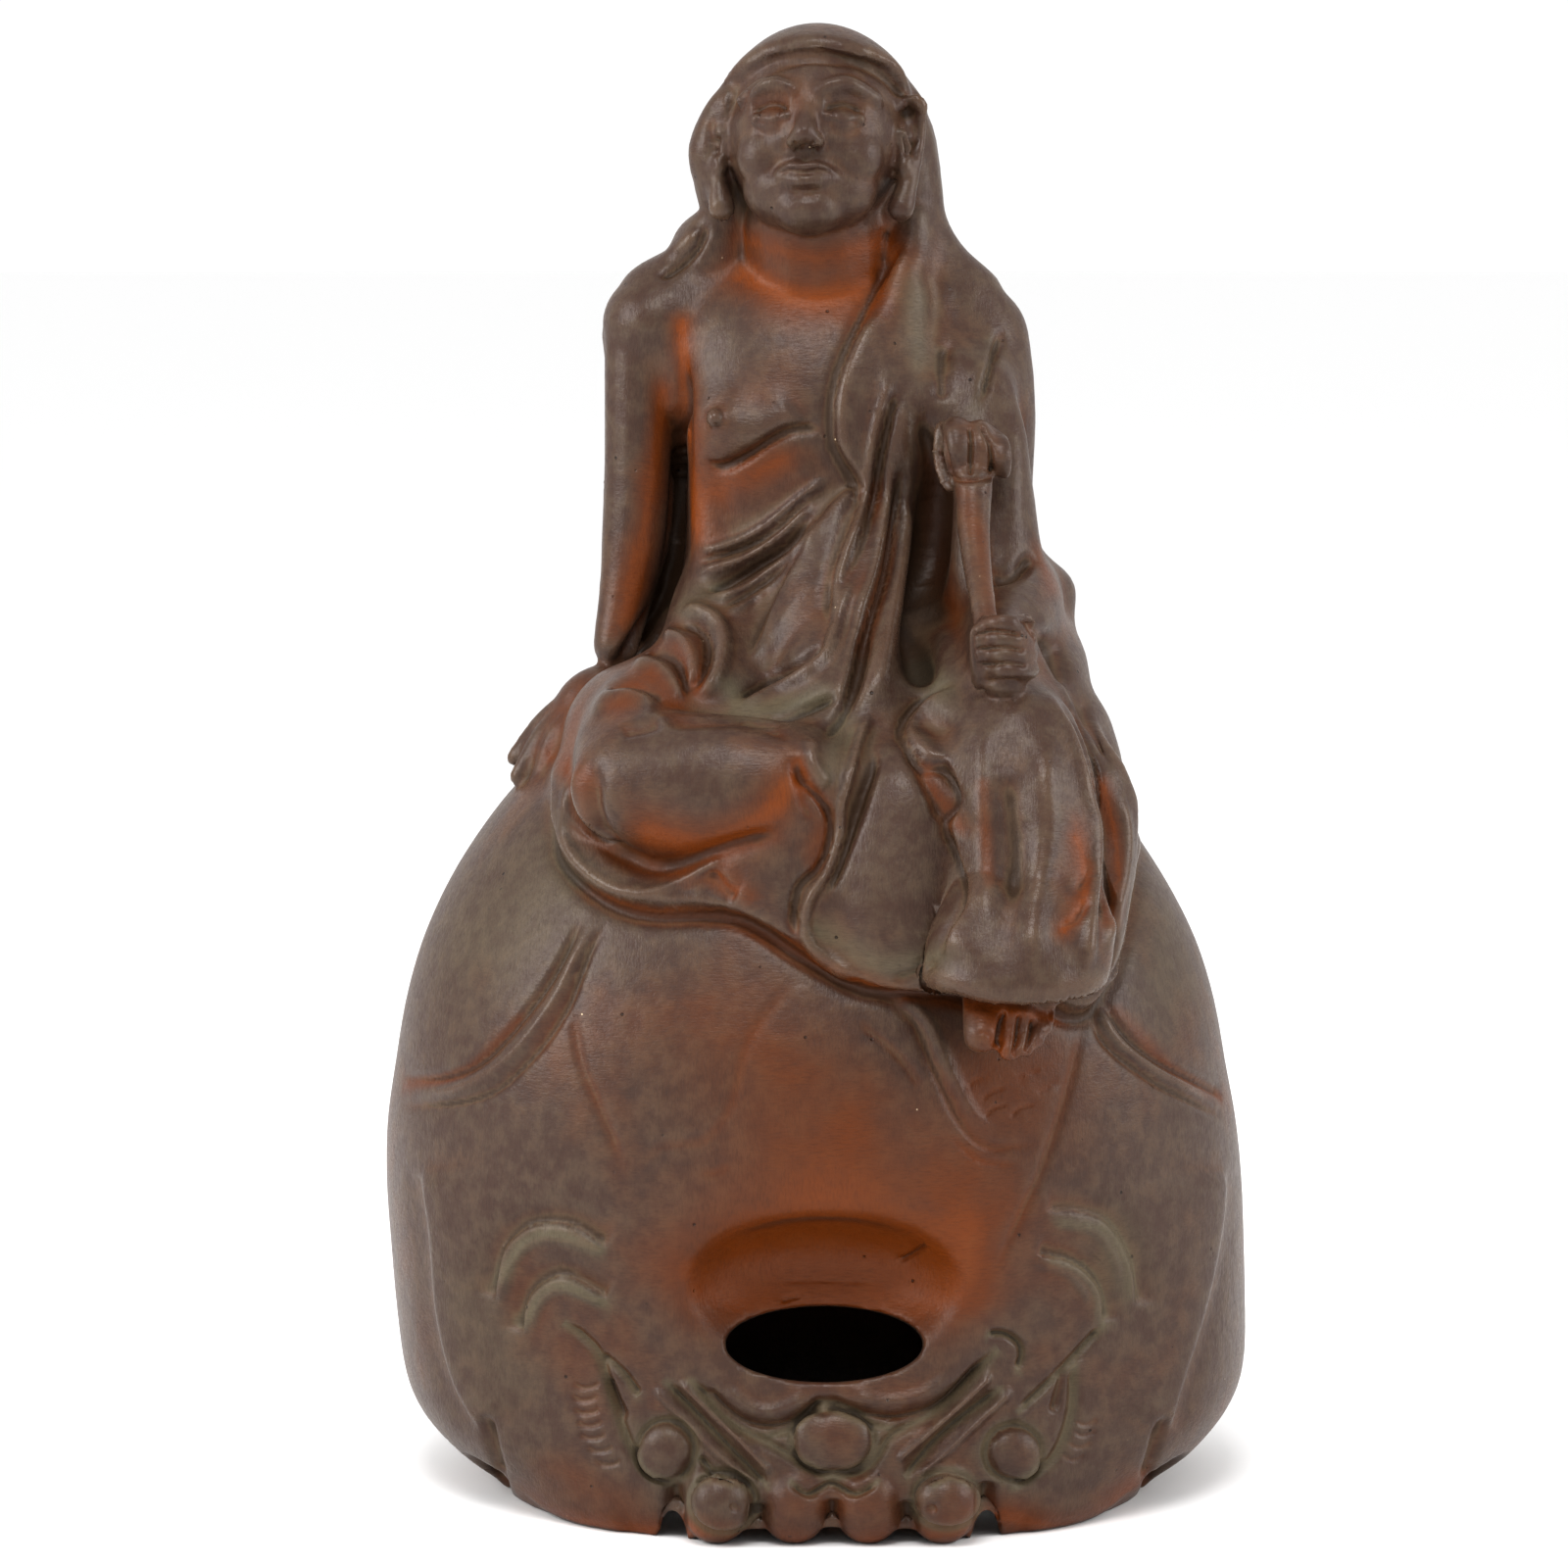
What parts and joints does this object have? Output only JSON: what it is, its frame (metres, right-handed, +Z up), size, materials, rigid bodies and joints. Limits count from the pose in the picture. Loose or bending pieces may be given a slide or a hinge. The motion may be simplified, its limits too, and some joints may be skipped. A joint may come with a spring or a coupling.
{
  "type": "seated monk statue",
  "caption": "Hooded bare-chested monk with a hand-ended stick, seated on a round hollow drum with beast relief and an oval mouth",
  "frame": {"origin": "on the ground, under the middle of the statue's outline", "axes": "+Z up, the figure and the mouth face -Y, +X towards the figure's left hand"},
  "size_m": [0.2144, 0.2054, 0.36],
  "materials": {
    "stoneware": "satin"
  },
  "bodies": {
    "root": {"statue": "stoneware"}
  },
  "joints": []
}
